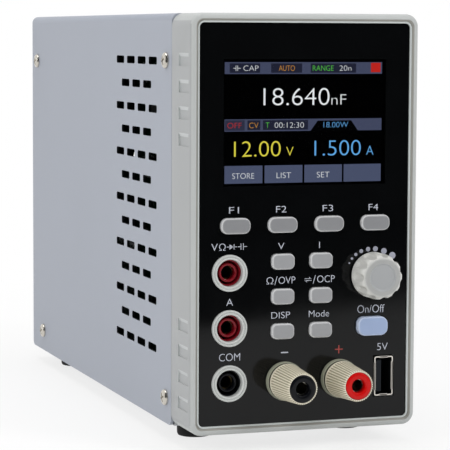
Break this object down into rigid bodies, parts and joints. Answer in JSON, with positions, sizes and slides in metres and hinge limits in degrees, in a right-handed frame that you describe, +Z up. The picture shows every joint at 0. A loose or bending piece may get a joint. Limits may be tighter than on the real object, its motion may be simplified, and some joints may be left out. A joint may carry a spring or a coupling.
{
  "type": "bench power supply",
  "caption": "Upright bench power supply with a colour display, keys, a rotary control, meter jacks, binding posts, a USB outlet and a rear fan.",
  "frame": {"origin": "on the surface it stands on, under the middle of its box", "axes": "+X to the right seen from the front, +Y from the front to the rear, +Z up"},
  "size_m": [0.085, 0.245, 0.148],
  "materials": {
    "bezel_plastic": "fine texture",
    "black_overlay": "satin film",
    "window": "clear",
    "display": "lit picture",
    "key_plastic": "satin",
    "output_key_plastic": "satin",
    "knob_plastic": "satin",
    "cap_plastic": "satin",
    "red_plastic": "glossy",
    "dark_red_plastic": "glossy",
    "black_plastic": "satin",
    "shaft_steel": "turned",
    "screw_nickel": "plated",
    "bright_plate": "plated",
    "brass": "turned",
    "cover_paint": "fine texture powder coat",
    "zinc_sheet": "zinc plated",
    "foot_rubber": "matte",
    "board_green": "solder mask",
    "ferrite": "matte",
    "winding_tape": "tape",
    "capacitor_sleeve": "shrink sleeve",
    "heat_sink": "extruded"
  },
  "bodies": {
    "case": {"front_bezel": "bezel_plastic", "panel_plates": "bezel_plastic", "socket_plates": "bezel_plastic", "front_overlay": "black_overlay", "display_window": "window", "display_module": "display", "encoder_body": "zinc_sheet", "jack_collars": "bezel_plastic", "volts_jack_cup": "dark_red_plastic", "amps_jack_cup": "dark_red_plastic", "common_jack_cup": "black_plastic", "jack_contacts": "brass", "post_bases": "bezel_plastic", "post_studs": "screw_nickel", "usb_shell": "bright_plate", "usb_tongue": "black_plastic", "front_board": "board_green", "tact_switches": "black_plastic", "meter_board": "board_green", "cover": "cover_paint", "cover_screws": "screw_nickel", "chassis_tray": "zinc_sheet", "case_fasteners": "screw_nickel", "rear_panel": "cover_paint", "feet": "foot_rubber", "board_standoffs": "brass", "power_board": "board_green", "transformer_core": "ferrite", "transformer_winding": "winding_tape", "capacitors": "capacitor_sleeve", "heat_sinks": "heat_sink", "power_transistors": "black_plastic", "fan_frame": "black_plastic", "fan_guard": "bright_plate", "inlet_housing": "black_plastic", "inlet_blades": "brass", "switch_housing": "black_plastic", "selector_housing": "black_plastic"},
    "f1_key": {"f1_key": "key_plastic"},
    "f2_key": {"f2_key": "key_plastic"},
    "f3_key": {"f3_key": "key_plastic"},
    "f4_key": {"f4_key": "key_plastic"},
    "voltage_key": {"voltage_key": "key_plastic"},
    "current_key": {"current_key": "key_plastic"},
    "ohms_key": {"ohms_key": "key_plastic"},
    "swap_key": {"swap_key": "key_plastic"},
    "display_key": {"display_key": "key_plastic"},
    "mode_key": {"mode_key": "key_plastic"},
    "output_key": {"output_key": "output_key_plastic"},
    "encoder_rotor": {"encoder_rotor": "black_plastic"},
    "knob": {"control_knob": "knob_plastic", "encoder_shaft": "shaft_steel"},
    "minus_sleeve": {"minus_post_sleeve": "black_plastic"},
    "minus_cap": {"minus_post_cap": "cap_plastic"},
    "plus_sleeve": {"plus_post_sleeve": "red_plastic"},
    "plus_cap": {"plus_post_cap": "cap_plastic"},
    "fan_rotor": {"fan_rotor": "black_plastic"},
    "fuse_drawer": {"fuse_drawer": "black_plastic"},
    "switch_rocker": {"switch_rocker": "black_plastic"},
    "selector_slider": {"selector_slider": "red_plastic"}
  },
  "joints": [
    {"name": "f1_key_press", "type": "slide", "parent": "case", "child": "f1_key", "axis": [0, 1, 0], "range_m": [0, 0.0008], "stiffness_N_per_m": 1200},
    {"name": "f2_key_press", "type": "slide", "parent": "case", "child": "f2_key", "axis": [0, 1, 0], "range_m": [0, 0.0008], "stiffness_N_per_m": 1200},
    {"name": "f3_key_press", "type": "slide", "parent": "case", "child": "f3_key", "axis": [0, 1, 0], "range_m": [0, 0.0008], "stiffness_N_per_m": 1200},
    {"name": "f4_key_press", "type": "slide", "parent": "case", "child": "f4_key", "axis": [0, 1, 0], "range_m": [0, 0.0008], "stiffness_N_per_m": 1200},
    {"name": "voltage_key_press", "type": "slide", "parent": "case", "child": "voltage_key", "axis": [0, 1, 0], "range_m": [0, 0.0008], "stiffness_N_per_m": 1200},
    {"name": "current_key_press", "type": "slide", "parent": "case", "child": "current_key", "axis": [0, 1, 0], "range_m": [0, 0.0008], "stiffness_N_per_m": 1200},
    {"name": "ohms_key_press", "type": "slide", "parent": "case", "child": "ohms_key", "axis": [0, 1, 0], "range_m": [0, 0.0008], "stiffness_N_per_m": 1200},
    {"name": "swap_key_press", "type": "slide", "parent": "case", "child": "swap_key", "axis": [0, 1, 0], "range_m": [0, 0.0008], "stiffness_N_per_m": 1200},
    {"name": "display_key_press", "type": "slide", "parent": "case", "child": "display_key", "axis": [0, 1, 0], "range_m": [0, 0.0008], "stiffness_N_per_m": 1200},
    {"name": "mode_key_press", "type": "slide", "parent": "case", "child": "mode_key", "axis": [0, 1, 0], "range_m": [0, 0.0008], "stiffness_N_per_m": 1200},
    {"name": "output_key_press", "type": "slide", "parent": "case", "child": "output_key", "axis": [0, 1, 0], "range_m": [0, 0.0008], "stiffness_N_per_m": 1200},
    {"name": "knob_turn", "type": "hinge", "parent": "case", "child": "encoder_rotor", "pos_m": [0.02475, -0.10421, 0.05885], "axis": [0, -1, 0], "continuous": true},
    {"name": "knob_push", "type": "slide", "parent": "encoder_rotor", "child": "knob", "axis": [0, 1, 0], "range_m": [0, 0.0005], "stiffness_N_per_m": 1500},
    {"name": "minus_cap_lift", "type": "slide", "parent": "case", "child": "minus_sleeve", "axis": [0, -1, 0], "range_m": [0, 0.0045]},
    {"name": "minus_cap_turn", "type": "hinge", "parent": "minus_sleeve", "child": "minus_cap", "pos_m": [-0.007, -0.10421, 0.02345], "axis": [0, -1, 0], "range_deg": [0, 1620.5]},
    {"name": "plus_cap_lift", "type": "slide", "parent": "case", "child": "plus_sleeve", "axis": [0, -1, 0], "range_m": [0, 0.0045]},
    {"name": "plus_cap_turn", "type": "hinge", "parent": "plus_sleeve", "child": "plus_cap", "pos_m": [0.013, -0.10421, 0.02345], "axis": [0, -1, 0], "range_deg": [0, 1620.5]},
    {"name": "fan_spin", "type": "hinge", "parent": "case", "child": "fan_rotor", "pos_m": [0, 0.11099, 0.112], "axis": [0, 1, 0], "continuous": true},
    {"name": "fuse_drawer_pull", "type": "slide", "parent": "case", "child": "fuse_drawer", "axis": [0, 1, 0], "range_m": [0, 0.012]},
    {"name": "rocker_tilt", "type": "hinge", "parent": "case", "child": "switch_rocker", "pos_m": [-0.018, 0.11699, 0.038], "axis": [1, 0, 0], "range_deg": [0, 18]},
    {"name": "selector_slide", "type": "slide", "parent": "case", "child": "selector_slider", "axis": [1, 0, 0], "range_m": [0, 0.005]}
  ],
  "couplings": [
    {"joint": "minus_cap_turn", "follows": "minus_cap_lift", "rad_per_m": 6283.2},
    {"joint": "plus_cap_turn", "follows": "plus_cap_lift", "rad_per_m": 6283.2}
  ]
}
